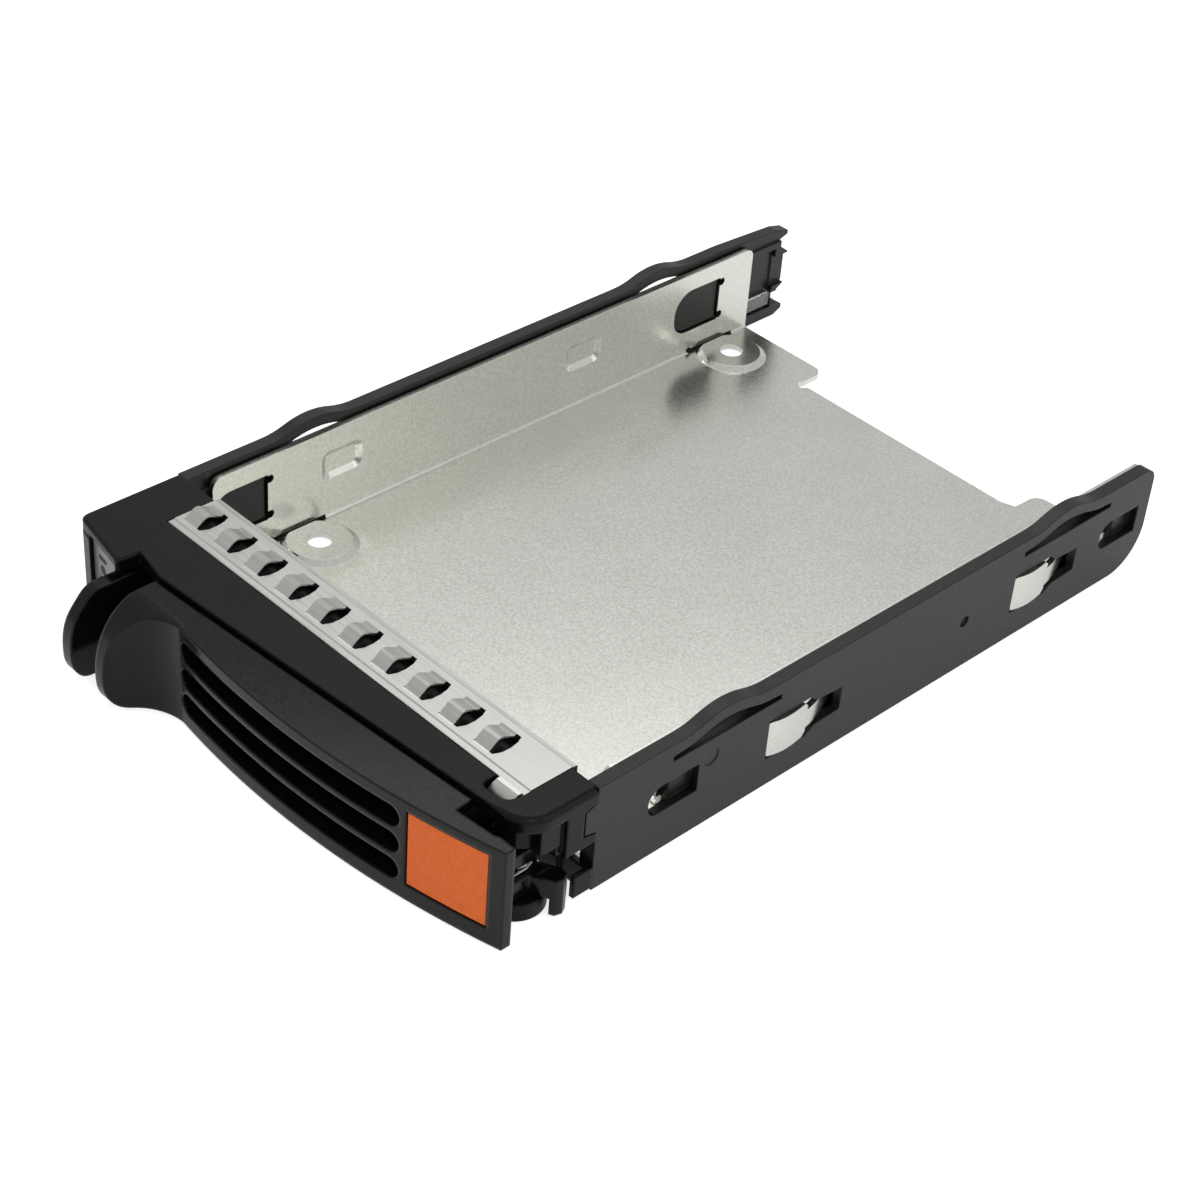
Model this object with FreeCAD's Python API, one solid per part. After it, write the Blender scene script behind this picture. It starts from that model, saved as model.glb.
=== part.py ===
import FreeCAD, Part
import math
import os

V = FreeCAD.Vector
os.makedirs("parts", exist_ok=True)

# ---------------------------------------------------------------- sizes (mm)
# X across the caddy (0 = middle), Y from the bezel's front plane to the back,
# Z up (0 = underside of the rails).

DRIVE_W = 69.85            # width of a 2.5-inch drive
DRIVE_PLAY = 0.175         # gap between drive and tray wall, each side
SHEET_T = 0.8              # galvanised sheet
RAIL_T = 2.15              # rail thickness across X
CADDY_H = 15.0             # height of rails and bezel
WALL_H = 14.1              # height of the tray's side walls

TRAY_FRONT = 17.5          # outer face of the tray's front wall
WALL_FRONT = 19.2          # where the side walls begin
WALL_REAR = 116.8          # rear edge of the side walls and of the pad tabs
FLOOR_REAR = 111.8         # rear edge of the floor between the tabs
HOLE_X = 61.72             # screw hole spacing across the drive
HOLE_Y1 = 32.8             # front screw holes
HOLE_PITCH = 76.6          # front to rear screw holes
HOLE_R = 1.7               # clearance for M3
PAD_H = 0.7                # how far the screw pads stand up

SEAM_Y = 16.2              # bezel rear edge, rail front edge
RAIL_REAR = 116.4          # right rail
LEFT_REAR = 125.4          # left rail, which reaches the light source
WEB_T = 1.2                # rail web
ARCH_RISE = 1.2            # spring arch above the rail's top
ARCH_LEN = 14.6

CHEEK_INSET = 0.0          # how far the bezel's left cheek stands inside the rail's side
FACE_BOW = 4.538462069     # how far the lever's face falls back towards the right side
FACE_X = 4.0               # X of the face's most forward point
FACE_Y = -2.8              # Y of that point
FACE_T = 1.8               # thickness of the lever's face
LEVER_H = 14.4
SLOT_H = 3.05              # vent slots in the lever
SLOT_PITCH = 3.78
TAB_REACH = 7.5            # how far both thumb tabs stand forward of Y = 0
TAB_T = 1.8

PIN_R = 1.0                # lever pivot pin
LATCH_PIN_R = 0.8
RUN_FIT = 0.06             # radial clearance of both pivots

STRIP_T = 0.25             # contact strip
FINGERS = 10
FINGER_PITCH = 5.9
FINGER_W = 2.5
FINGER_RISE = 1.15

# ---------------------------------------------------------------- derived
WI = DRIVE_W / 2 + DRIVE_PLAY          # inner face of the tray wall
WO = WI + SHEET_T                      # outer face of the tray wall
W2 = WO + RAIL_T                       # outer face of the rails
FRONT_W = W2 - CHEEK_INSET             # half width of the bezel's left cheek
WEB_IN = W2 - WEB_T                    # inner face of the rail web
HOLE_Y2 = HOLE_Y1 + HOLE_PITCH
PIVOT_X = W2 - 4.65                    # lever pivot
PIVOT_Y = 8.7
LATCH_X = -W2 + 12.05                  # latch pivot
LATCH_Y = 7.6
LATCH_L = -W2 + 8.95                   # left face of the latch tab
LEVER_L = -W2 + 15.65                  # left face of the lever's thumb tab
STRIP_X0 = -W2 + 7.45                  # contact strip, left end
STRIP_X1 = W2 - 4.45                   # contact strip, right end
FACE_R = ((W2 - FACE_X) ** 2 + FACE_BOW ** 2) / (2 * FACE_BOW)
FACE_CY = FACE_Y + FACE_R
FINGER_X = STRIP_X0 + 2.25             # middle of the first finger
ARCHES = (HOLE_Y1 + 3.5, HOLE_Y2 - 11.2)
D_CUTS = (HOLE_Y1 - 14.1, HOLE_Y2 - 8.3)
SPRINGS_Y = (HOLE_Y1 + 10.9, HOLE_Y2 - 20.8)
ROOT_L = 3.6                           # wall left at the rear ground spring's root


# ---------------------------------------------------------------- helpers
def box(x0, x1, y0, y1, z0, z1):
    return Part.makeBox(x1 - x0, y1 - y0, z1 - z0, V(x0, y0, z0))


def rod(x, y, z0, z1, r):
    return Part.makeCylinder(r, z1 - z0, V(x, y, z0))


def rod_x(x0, x1, y, z, r):
    return Part.makeCylinder(r, x1 - x0, V(x0, y, z), V(1, 0, 0))


def sided(n, centre, r, plane, level, length):
    """An n-sided bar that stands in for a small round detail."""
    ring = [(centre[0] + r * math.cos(math.pi * (2 * k + 1) / n),
             centre[1] + r * math.sin(math.pi * (2 * k + 1) / n)) for k in range(n)]
    face = path_face(ring, level, plane)
    return face.extrude(plane(0, 0, length) - plane(0, 0, 0))


def fuse(shapes):
    first = shapes[0]
    if len(shapes) > 1:
        first = first.multiFuse(shapes[1:])
    return first.removeSplitter()


def on_xy(a, b, level):
    return V(a, b, level)


def on_yz(a, b, level):
    return V(level, a, b)


def path_face(path, level, plane):
    """A flat face from a closed path: points, (mid, end) arcs and spline runs."""
    edges = []
    at = path[0]
    first = at
    for step in path[1:]:
        if step[0] == "arc":
            ends = (plane(*at, level), plane(*step[1], level), plane(*step[2], level))
            edges.append(Part.Arc(*ends).toShape())
            at = step[2]
        elif step[0] == "curve":
            curve = Part.BSplineCurve()
            curve.interpolate([plane(*q, level) for q in [at] + step[1]])
            edges.append(curve.toShape())
            at = step[1][-1]
        else:
            edges.append(Part.makeLine(plane(*at, level), plane(*step, level)))
            at = step
    if math.dist(at, first) > 1e-6:
        edges.append(Part.makeLine(plane(*at, level), plane(*first, level)))
    return Part.Face(Part.Wire(edges))


def corner(a, p, c, r):
    """The corner p between a and c as a tangent arc of radius r."""
    u = (a[0] - p[0], a[1] - p[1])
    w = (c[0] - p[0], c[1] - p[1])
    lu = math.hypot(*u)
    lw = math.hypot(*w)
    u = (u[0] / lu, u[1] / lu)
    w = (w[0] / lw, w[1] / lw)
    half = math.acos(max(-1, min(1, u[0] * w[0] + u[1] * w[1]))) / 2
    cut = r / math.tan(half)
    bis = (u[0] + w[0], u[1] + w[1])
    lb = math.hypot(*bis)
    reach = r / math.sin(half) - r
    mid = (p[0] + bis[0] / lb * reach, p[1] + bis[1] / lb * reach)
    return [(p[0] + u[0] * cut, p[1] + u[1] * cut),
            ("arc", mid, (p[0] + w[0] * cut, p[1] + w[1] * cut))]


def round_path(points):
    """A closed path from corners (a, b) or (a, b, radius), with tangent arcs."""
    path = []
    n = len(points)
    for i in range(n):
        p = points[i]
        if len(p) > 2 and p[2] > 0:
            path += corner(points[i - 1], p, points[(i + 1) % n], p[2])
        else:
            path.append((p[0], p[1]))
    return path


def prism_xy(path, z0, z1):
    return path_face(path, z0, on_xy).extrude(V(0, 0, z1 - z0))


def prism_yz(path, x0, x1):
    return path_face(path, x0, on_yz).extrude(V(x1 - x0, 0, 0))


def mirror_x(shape):
    return shape.mirror(V(0, 0, 0), V(1, 0, 0))


def fillet(shape, radius, wanted):
    """Round the edges for which wanted(edge bounding box) is true."""
    edges = [e for e in shape.Edges if wanted(e.BoundBox)]
    if not edges:
        raise ValueError("no edge to round")
    return shape.makeFillet(radius, edges)


def is_at(low, high, value):
    return abs(low - value) < 1e-4 and abs(high - value) < 1e-4


def face_y(x):
    """Y of the lever's outer face at x."""
    return FACE_CY - math.sqrt(FACE_R ** 2 - (x - FACE_X) ** 2)


def face_band(inset, depth, z0, z1):
    """A curved slab that follows the lever's face, inset from it."""
    outer = rod(FACE_X, FACE_CY, z0, z1, FACE_R - inset)
    inner = rod(FACE_X, FACE_CY, z0 - 1, z1 + 1, FACE_R - inset - depth)
    return outer.cut(inner)


def seam_y(x):
    """Y of the bezel's front top edge, behind the lever."""
    return 2.3 + 0.066 * (x + W2 - 23.05)


def d_path(y0, z0, length, height):
    """A D shape in the YZ plane: round at the front, square at the rear."""
    return round_path([(y0, z0, height * 0.38), (y0 + length, z0), (y0 + length, z0 + height),
                       (y0, z0 + height, height * 0.5)])


def torsion_spring(x, y, z0, turns, pitch, radius, wire, legs):
    """A torsion spring on a vertical axis, its two legs tangent to the coil."""
    coil = Part.makeHelix(pitch, pitch * turns, radius).Edges[0]
    first = coil.FirstParameter
    span = coil.LastParameter - first
    steps = int(turns * 10)
    line = [coil.valueAt(first + span * i / steps) for i in range(steps + 1)]
    tail = line[0] - coil.tangentAt(first) * legs[0]
    line = [tail] + line + [line[-1] + coil.tangentAt(coil.LastParameter) * legs[1]]
    way = (line[1] - tail).normalize()
    side = way.cross(V(0, 0, 1)).normalize()
    up = way.cross(side)
    turn = math.pi / 3
    ring = [tail + side * (wire * math.cos(k * turn)) + up * (wire * math.sin(k * turn))
            for k in range(6)]
    path = Part.Wire(Part.makePolygon(line))
    body = path.makePipeShell([Part.Wire(Part.makePolygon(ring + ring[:1]))], True, False, 1)
    body.translate(V(x, y, z0))
    return body


# ---------------------------------------------------------------- tray
def screw_pad(x, y):
    """Raised pad: a shallow cone pressed up from the floor."""
    turn = 2 * math.pi / 28

    def ring(r, z):
        points = [V(x + r * math.cos(k * turn), y + r * math.sin(k * turn), z) for k in range(28)]
        return Part.Wire(Part.makePolygon(points + points[:1]))
    return Part.makeLoft([ring(5.25, SHEET_T - 0.05), ring(4.3, SHEET_T + PAD_H)], True, True)


def pad_hollow(x, y):
    return sided(12, (x, y), 4.2, on_xy, 0, PAD_H)


def pad_slit(y):
    """Relief slit where a pad meets the bend of the wall, round at its front end."""
    slit = box(WI - 0.5, WO + 1, y - 4.7, y + 4.3, SHEET_T, SHEET_T + 0.55)
    return slit.fuse(sided(6, (y - 4.7, SHEET_T + 0.45), 0.5, on_yz, WI - 0.5, 2.3))


def floor_notch():
    """The floor's rear edge is set back between the two pad tabs."""
    half = HOLE_X / 2 - 11.7
    y0 = FLOOR_REAR
    y1 = WALL_REAR
    right = half + 1.5
    notch = prism_xy([(-half, y0), (right - 2.1, y0 - 0.3), (right, y0 + 0.4), (right + 0.1, y1 - 2.2),
                      ("arc", (right + 0.6, y1 - 0.55), (right + 1.9, y1)),
                      (right + 1.9, y1 + 5), (-half - 1.9, y1 + 5), (-half - 1.9, y1),
                      ("arc", (-half - 0.55, y1 - 0.45), (-half, y1 - 1.6))],
                     -1, SHEET_T + 1)
    return notch.fuse(rod(-half + 0.6, y0, -1, SHEET_T + 1, 0.85))


def wall_emboss(y, z):
    """A shallow oblong with sloping sides, pressed outwards in the left wall."""
    def outline(grow, x):
        return path_face(round_path([(y - 3.3 - grow, z - 2.1 - grow, 1.3 + grow),
                                     (y + 3.3 + grow, z - 2.1 - grow, 1.3 + grow),
                                     (y + 3.3 + grow, z + 2.1 + grow, 1.3 + grow),
                                     (y - 3.3 - grow, z + 2.1 + grow, 1.3 + grow)]),
                         x, on_yz).OuterWire
    boss = Part.makeLoft([outline(0.35, -WO + 0.05), outline(-0.35, -WO - 0.45)], True, True)
    hollow = Part.makeLoft([outline(0.15, -WI + 0.05), outline(-0.75, -WO + 0.35)], True, True)
    return boss, hollow


def ground_spring(y):
    """T-shaped tongue: neck rooted behind, bowed head that meets the bay."""
    peak = W2 + 0.45 - SHEET_T / 2
    lie = W2 - 0.05 - SHEET_T / 2
    mid = [(WI + 0.4, y + 13.9), (WO + 0.3, y + 11.6), (lie - 0.25, y + 8.4),
           (lie + 0.1, y + 6.6), (peak, y + 3.4), (lie, y + 0.25)]
    curve = Part.BSplineCurve()
    curve.interpolate([V(a, b, 0) for a, b in mid])
    outer = []
    inner = []
    steps = 5
    for i in range(steps + 1):
        t = curve.FirstParameter + (curve.LastParameter - curve.FirstParameter) * i / steps
        p = curve.value(t)
        d = curve.tangent(t)[0]
        n = V(-d.y, d.x, 0)
        if n.x < 0:
            n = n * -1
        outer.append((p.x + n.x * SHEET_T / 2, p.y + n.y * SHEET_T / 2))
        inner.append((p.x - n.x * SHEET_T / 2, p.y - n.y * SHEET_T / 2))
    inner.reverse()
    band = path_face([outer[0], ("curve", outer[1:]), inner[0], ("curve", inner[1:])],
                     0, on_xy).extrude(V(0, 0, CADDY_H))
    head = prism_yz(round_path([(y, 4.5, 0.5), (y + 6.0, 4.5), (y + 6.6, 5.1), (y + 6.6, 5.6),
                                (y + 15, 5.6), (y + 15, 8.3), (y + 6.6, 8.3),
                                (y + 6.6, 9.0), (y + 6.0, 9.55), (y, 9.55, 0.5)]), WI - 2, W2 + 3)
    return band.common(head)


def t_window(y, grow):
    """Outline of the T-shaped opening round a ground spring."""
    z0 = 4.3 - grow
    z1 = 9.75 + grow
    return round_path([(y, z0), (y + 6.9, z0), (y + 8.3, z0 + 0.95),
                       (y + 12.5 + grow, z0 + 1.15), (y + 12.5 + grow, z1 - 1.2),
                       (y + 8.3, z1 - 1.0), (y + 6.9, z1), (y, z1)])


def make_tray():
    tray = box(-WO, WO, WALL_FRONT, WALL_REAR, 0, WALL_H)
    tray = fillet(tray, 1.2, lambda b: is_at(b.ZMin, b.ZMax, 0) and b.YLength > 50)
    room = box(-WI, WI, WALL_FRONT - 5, WALL_REAR + 5, SHEET_T, WALL_H + 5)
    room = fillet(room, 0.45, lambda b: is_at(b.ZMin, b.ZMax, SHEET_T) and b.YLength > 50)
    tray = tray.cut(room)
    # front wall and the part of the floor that carries it
    lip = WO - 2.6
    front = box(-lip, lip, TRAY_FRONT, WALL_FRONT + 1, 0, WALL_H - 0.9)
    front = front.cut(box(-lip - 1, lip + 1, TRAY_FRONT + SHEET_T, WALL_FRONT + 5, SHEET_T, WALL_H))
    front = fillet(front, 1.2, lambda b: is_at(b.YMin, b.YMax, TRAY_FRONT)
                   and is_at(b.ZMin, b.ZMax, 0))
    inner = TRAY_FRONT + SHEET_T
    front = fillet(front, 0.4, lambda b: is_at(b.YMin, b.YMax, inner)
                   and is_at(b.ZMin, b.ZMax, SHEET_T))
    vents = []
    count = 9
    for i in range(count):
        x = (i - (count - 1) / 2) * (lip * 2 - 6) / count
        vents.append(box(x - 1.6, x + 1.6, TRAY_FRONT - 1, WALL_FRONT, 3.4, 10.4))
    front = front.cut(vents[0].multiFuse(vents[1:]))
    tray = fuse([tray, front])
    # rounded top corners of both walls
    keep = prism_yz(round_path([(TRAY_FRONT - 5, -1), (WALL_REAR, -1), (WALL_REAR, WALL_H, 1.3),
                                (WALL_FRONT, WALL_H, 1.6), (WALL_FRONT, WALL_H - 4),
                                (TRAY_FRONT - 5, WALL_H - 4)]), -WO - 1, WO + 1)
    tray = tray.common(keep)
    tray = tray.cut(floor_notch())
    # screw pads
    pads = []
    cuts = []
    for y in (HOLE_Y1, HOLE_Y2):
        for s in (-1, 1):
            x = s * HOLE_X / 2
            pads.append(screw_pad(x, y))
            cuts.append(pad_hollow(x, y))
            cuts.append(rod(x, y, -1, 5, HOLE_R))
            slit = pad_slit(y)
            cuts.append(slit if s > 0 else mirror_x(slit))
    pads = [p.common(box(-WI + 0.5, WI - 0.5, 0, WALL_REAR + 9, 0, 5)) for p in pads]
    tray = fuse([tray] + pads)
    # oblong bosses of the left wall
    for y in (HOLE_Y1 + 7.1, HOLE_Y2 - 26.4):
        out, hollow = wall_emboss(y, 8.8)
        tray = tray.fuse(out)
        cuts.append(hollow)
    # D openings for the rail hooks, with corner reliefs
    for y in D_CUTS:
        shape = prism_yz(d_path(y, 4.55, 9.1, 6.9), -1.5, 1.5)
        for z in (5.25, 10.7):
            shape = shape.fuse(sided(8, (y + 9.45, z), 0.62, on_yz, -1.5, 3))
        for s in (-1, 1):
            there = shape.copy()
            if s > 0 and y > SPRINGS_Y[1]:
                there = there.common(box(-5, 5, y + ROOT_L, WALL_REAR, 0, CADDY_H))
            there.translate(V(s * (WI + SHEET_T / 2), 0, 0))
            cuts.append(there)
    # T openings and springs of the right wall
    for y in SPRINGS_Y:
        cuts.append(prism_yz(t_window(y, 0), WI - 1, WO + 1))
    tray = tray.cut(cuts[0].multiFuse(cuts[1:]))
    for y in SPRINGS_Y:
        tray = tray.fuse(ground_spring(y))
    return tray.removeSplitter()


# ---------------------------------------------------------------- rails
def arch(y, half, low, rise, way):
    """Path of a flat arch from one foot to the other, in tangent arcs."""
    r = (half ** 2 + rise ** 2) / (4 * rise)
    lift = r - math.sqrt(r ** 2 - (half / 4) ** 2)
    side = way * half
    return [(y - side, low),
            ("arc", (y - side * 0.75, low + lift), (y - side / 2, low + rise / 2)),
            ("arc", (y, low + rise), (y + side / 2, low + rise / 2)),
            ("arc", (y + side * 0.75, low + lift), (y + side, low))]


def arch_slot(y):
    """Slot below a spring arch."""
    h = ARCH_LEN / 2 + 1.3
    low = CADDY_H - 2.5
    return prism_yz([(y - h, low), (y - h, low + 0.7)]
                    + arch(y, h - 0.6, CADDY_H - 1.7, ARCH_RISE + 0.1, 1)
                    + [(y + h + 0.4, low + 0.7), (y + h + 0.4, low)], WO - 1, W2 + 1)


def rail_body(rear, rear_path):
    """Outline with arches, extruded to the rail's thickness, channel cut inside."""
    path = [(SEAM_Y, 0)] + rear_path
    for y in reversed(ARCHES):
        path += arch(y, ARCH_LEN / 2, CADDY_H, ARCH_RISE, -1)
    path += [(SEAM_Y, CADDY_H), (SEAM_Y, 12.9), (SEAM_Y - 1.65, 12.3), (SEAM_Y - 1.65, 9.1),
             (SEAM_Y, 8.7)]
    rail = prism_yz(path, WO, W2)
    rail = rail.cut(box(WO - 1, WEB_IN, SEAM_Y + 2.4, rear - 2.6, 1.7, CADDY_H - 3.4))
    rail = rail.cut(box(WO - 1, WEB_IN, SEAM_Y - 4, SEAM_Y, 0, CADDY_H))
    rail = rail.cut(box(WO - 1, WO + 0.35, SEAM_Y - 1, rear + 1, CADDY_H - 2.4, CADDY_H + 3))
    for y in ARCHES:
        rail = rail.cut(arch_slot(y))
    return rail


def rail_hook(y):
    """Moulded block that stands in the tray's D opening."""
    return prism_yz(d_path(y + 0.25, 4.8, 8.6, 6.4), WI + 0.45, WEB_IN)


def make_right_rail():
    rear = [(RAIL_REAR - 5.8, 0), ("arc", (RAIL_REAR - 1.7, 1.9), (RAIL_REAR, 6.2)),
            (RAIL_REAR, 12.9), ("arc", (RAIL_REAR - 0.6, 14.4), (RAIL_REAR - 2.1, CADDY_H))]
    rail = rail_body(RAIL_REAR, rear)
    for y in (HOLE_Y1 - 8.9, HOLE_Y2 - 3.6):
        rail = rail.cut(prism_yz(d_path(y + 0.4, 5.8, 7.9, 4.0), WEB_IN - 0.1, W2 + 1))
        rail = rail.fuse(box(WO, WEB_IN, y + 4.8, y + 9.0, 4.2, 11.2))
    for y in SPRINGS_Y:
        rail = rail.cut(prism_yz(t_window(y, 0.15), WO - 1, W2 + 1))
    front = rail_hook(D_CUTS[0]).common(box(0, W2, 0, D_CUTS[0] + 4.2, 0, CADDY_H))
    rail = rail.fuse(front)
    # ejector marks
    rail = rail.cut(rod_x(W2 - 0.12, W2 + 1, HOLE_Y1 + 1.3, 9.8, 1.2))
    rail = rail.cut(rod_x(W2 - 0.35, W2 + 1, HOLE_Y2 - 30.3, 7.4, 0.8))
    return rail.removeSplitter()


def make_left_rail():
    end = LEFT_REAR
    # stepped rear end: top lip, middle tongue and bottom lip with notches between
    rear = [(end - 1.6, 0), (end, 0.7), (end, 1.4), (end - 1.5, 2.3), (end - 1.5, 4.4), (end, 5.3),
            (end, 10.5), (end - 1.5, 11.6), (end - 1.5, 12.7), (end, 13.2), (end, 13.8),
            (end - 2.4, 14.4), (end - 14, CADDY_H)]
    rail = rail_body(end, rear)
    rail = rail.cut(box(WO - 1, WEB_IN - 0.25, end - 6, end + 1, 5.2, 10.2))
    rail = rail.cut(box(WO - 1, WEB_IN, end - 3, end + 1, 2.15, 4.15))
    rail = rail.cut(box(WO - 1, WEB_IN, SEAM_Y - 1, SEAM_Y + 3, 2.15, 4.15))
    for y in (HOLE_Y1 - 8.9, HOLE_Y2 - 3.6):
        rail = rail.cut(prism_yz(d_path(y + 0.4, 5.8, 7.9, 4.0), W2 - 0.7, W2 + 1))
    for y in D_CUTS:
        rail = rail.fuse(rail_hook(y))
    return mirror_x(rail.removeSplitter())


# ---------------------------------------------------------------- light path
PIPE_X0 = W2 - 2.05
PIPE_X1 = WEB_IN
PANEL_Y = 1.75                         # panel's front face at its left end
PANEL_SLOPE = 0.16


def make_light_pipe():
    end = LEFT_REAR - 2.9
    pipe = prism_yz(round_path([(end, 2.2), (end, 4.1), (13.2, 4.1, 3), (5.4, 9.6, 1.5),
                                (3.6, 9.6), (3.6, 6.9), (4.8, 6.9, 1), (11.5, 2.2, 3)]),
                    PIPE_X0 + 0.1, PIPE_X1 - 0.05)
    return mirror_x(pipe)


def panel_path(x0, x1, front, depth):
    """Plan of a slab that follows the cheek's slanted front."""
    def y_at(x):
        return PANEL_Y + front - PANEL_SLOPE * (x + W2 - 2)
    return [(x0, y_at(x0)), (x1, y_at(x1)), (x1, y_at(x1) + depth), (x0, y_at(x0) + depth)]


def make_indicator():
    x0 = -W2 + 2.75
    x1 = -W2 + 8.45
    return prism_xy(panel_path(x0, x1, 0, 0.8), 2.6, 13.75)


# ---------------------------------------------------------------- bezel
def corner_arc():
    """Right front corner of the bezel: (start, mid, end) of an arc that ends
    tangent to the side and leaves the seam at a slight angle."""
    lean = math.radians(14)
    x0 = PIVOT_X + 1.6
    y0 = seam_y(x0)
    r = (W2 - x0) / (1 - math.sin(lean))
    y1 = y0 + r * math.cos(lean)
    half = (math.pi / 2 - lean) / 2
    return (x0, y0), (W2 - r + r * math.cos(half), y1 - r * math.sin(half)), (W2, y1)


def cheek_front(x1, r):
    """Plan of the left cheek's front, from its rounded corner to its end x1."""
    low = 1.4 + FRONT_W - W2
    side = (-FRONT_W, SEAM_Y)
    nose = (-FRONT_W, low + 0.3)
    tip = (x1, -0.2)
    return corner(side, nose, tip, 1.2) + corner(nose, tip, (x1 + 0.35, 3), r)


def top_plan():
    rear = SEAM_Y
    notch = -W2 + 10.25
    start, mid, end = corner_arc()
    return [(-FRONT_W, rear)] + cheek_front(notch, 0.5) + [
            (notch + 0.35, 3),
            (notch + 6.0, seam_y(notch + 6) + 0.1),
            ("curve", [(a, seam_y(a)) for a in (PIVOT_X - 48.4, PIVOT_X - 28.4, PIVOT_X - 3)]
             + [start]),
            ("arc", mid, end), (W2, rear)]


def cheek_cavity():
    """Room for the light pipe and the latch inside the left end."""
    x0 = -W2 + 1.0
    split = -W2 + 7.1
    room = prism_xy([(x0, 3.4), (split, 2.6), (split, 15.0), (x0, 15.0)], 1.5, 13.0)
    window = prism_xy(panel_path(-W2 + 3.1, split, -2, 6), 3.0, 13.4)
    seat = prism_xy(panel_path(-W2 + 2.7, split + 2, -0.2, 1.05), 2.55, 13.8)
    face = prism_xy(panel_path(-W2 + 2.7, split + 3, -2, 2.0), 2.55, 13.8)
    back = box(-W2 + 1.0, -W2 + 2.3, 14, SEAM_Y + 1, 2.0, 4.4)
    return fuse([room, window, back]), fuse([seat, face])


def make_bezel():
    plate = prism_xy(top_plan(), 13.0, CADDY_H)
    # rounded outer edges: right side and corner
    plate = fillet(plate, 0.9, lambda b: is_at(b.ZMin, b.ZMax, CADDY_H) and b.XMin > W2 - 4.1)
    left = [e for e in plate.Edges if is_at(e.BoundBox.ZMin, e.BoundBox.ZMax, CADDY_H)
            and e.BoundBox.XMax < -FRONT_W + 2 and e.BoundBox.YMin < SEAM_Y - 1]
    plate = plate.makeChamfer(0.3, left)
    # bottom plate: ends in a round lug below the lever pivot
    lug = rod(PIVOT_X, PIVOT_Y, 0, 2.3, 3.8)
    reach = PIVOT_X - 3.4
    floor = prism_xy([(-FRONT_W, SEAM_Y)] + cheek_front(-W2 + 7.9, 0.4) + [
                      (-W2 + 7.9, 3.4), (-15.0, seam_y(-15) + 0.5),
                      (5, seam_y(5) + 0.5), (reach, seam_y(reach) + 0.5), (PIVOT_X, PIVOT_Y - 3.8),
                      (PIVOT_X, PIVOT_Y + 3.8), (reach, PIVOT_Y + 4.2), (reach, SEAM_Y)],
                     0, 1.5)
    # left cheek
    cheek = prism_xy([(-FRONT_W, SEAM_Y)] + cheek_front(-W2 + 7.9, 0.4) + [
                      (-W2 + 7.9, SEAM_Y)], 0, 13.2)
    room, seat = cheek_cavity()
    cheek = cheek.cut(room)
    # rear frame: two bars and posts, open between them for the air flow
    bars = [box(-W2 + 7, W2 - 4.4, SEAM_Y - 1.3, SEAM_Y, 0, 3.2),
            box(-W2 + 7, W2 - 4.4, SEAM_Y - 1.3, SEAM_Y, 10.6, 13.4)]
    posts = []
    count = 5
    for i in range(count):
        x = -W2 + 20.5 + i * (W2 * 2 - 33.5) / (count - 1)
        posts.append(box(x - 0.6, x + 0.6, seam_y(x) + 1.2, SEAM_Y, 0.5, 13.2))
    # right cheek: hanging skirt with a rib, a groove and the seam step
    skirt = [box(W2 - 1.85, W2 - 0.25, PIVOT_Y - 0.55, 11.0, 9.5, 13.2),
             box(W2 - 1.85, W2 - 0.7, 10.9, 11.9, 7.6, 13.2),
             box(W2 - 1.85, W2, 11.8, SEAM_Y, 7.3, 13.2),
             box(W2 - 5.5, W2 - 1.7, SEAM_Y - 1.3, SEAM_Y, 7.3, 13.2)]
    sill = [box(W2 - 0.65, W2, 13.4, SEAM_Y, 0.4, 3.4),
            box(W2 - 5.5, W2 - 0.3, SEAM_Y - 0.8, SEAM_Y, 0, 3.4)]
    boss = sided(12, (PIVOT_X, PIVOT_Y), 2.8, on_xy, 9.7, 3.5)
    bezel = fuse([plate, floor, lug, cheek, boss] + bars + posts + skirt + sill)
    cuts = [seat]
    # seat and pocket of the contact strip
    cuts.append(box(STRIP_X0 - 0.1, STRIP_X1 + 0.1, 9.1, SEAM_Y + 1, CADDY_H - 0.35, CADDY_H + 1))
    cuts.append(box(FINGER_X - 2, FINGER_X + (FINGERS - 1) * FINGER_PITCH + 2, 10.6, 15.2,
                    CADDY_H - 1.4, CADDY_H + 1))
    cuts.append(box(STRIP_X0 - 0.1, STRIP_X1 + 0.1, 9.1, 9.55, 13.4, CADDY_H))
    # scoop for the strip's curled tab
    scoop = prism_xy(round_path([(STRIP_X1 - 4.3, 6.8, 0.8), (STRIP_X1 - 0.1, 6.8, 1.6),
                                 (STRIP_X1 - 0.1, 10), (STRIP_X1 - 4.3, 10)]), 13.7, CADDY_H + 1)
    cuts.append(scoop)
    # the rail's tongue
    for s in (-1, 1):
        x0, x1 = sorted((s * (WEB_IN - 0.1), s * (FRONT_W + 1)))
        cuts.append(prism_yz([(SEAM_Y + 1, 13.1), (SEAM_Y, 13.1), (SEAM_Y - 1.9, 12.5),
                              (SEAM_Y - 1.9, 8.9), (SEAM_Y, 8.5), (SEAM_Y + 1, 8.5)], x0, x1))
    # blind holes for both pins
    cuts.append(rod(PIVOT_X, PIVOT_Y, 0.7, 13.3, PIN_R))
    cuts.append(rod(LATCH_X, LATCH_Y, 0.6, 14.1, LATCH_PIN_R))
    # way out for the latch tab and the lever's catch
    cuts.append(box(-W2 + 7.85, -W2 + 17.6, -2, 6.4, 1.5, 13.0))
    return bezel.cut(cuts[0].multiFuse(cuts[1:])).removeSplitter()


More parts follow.
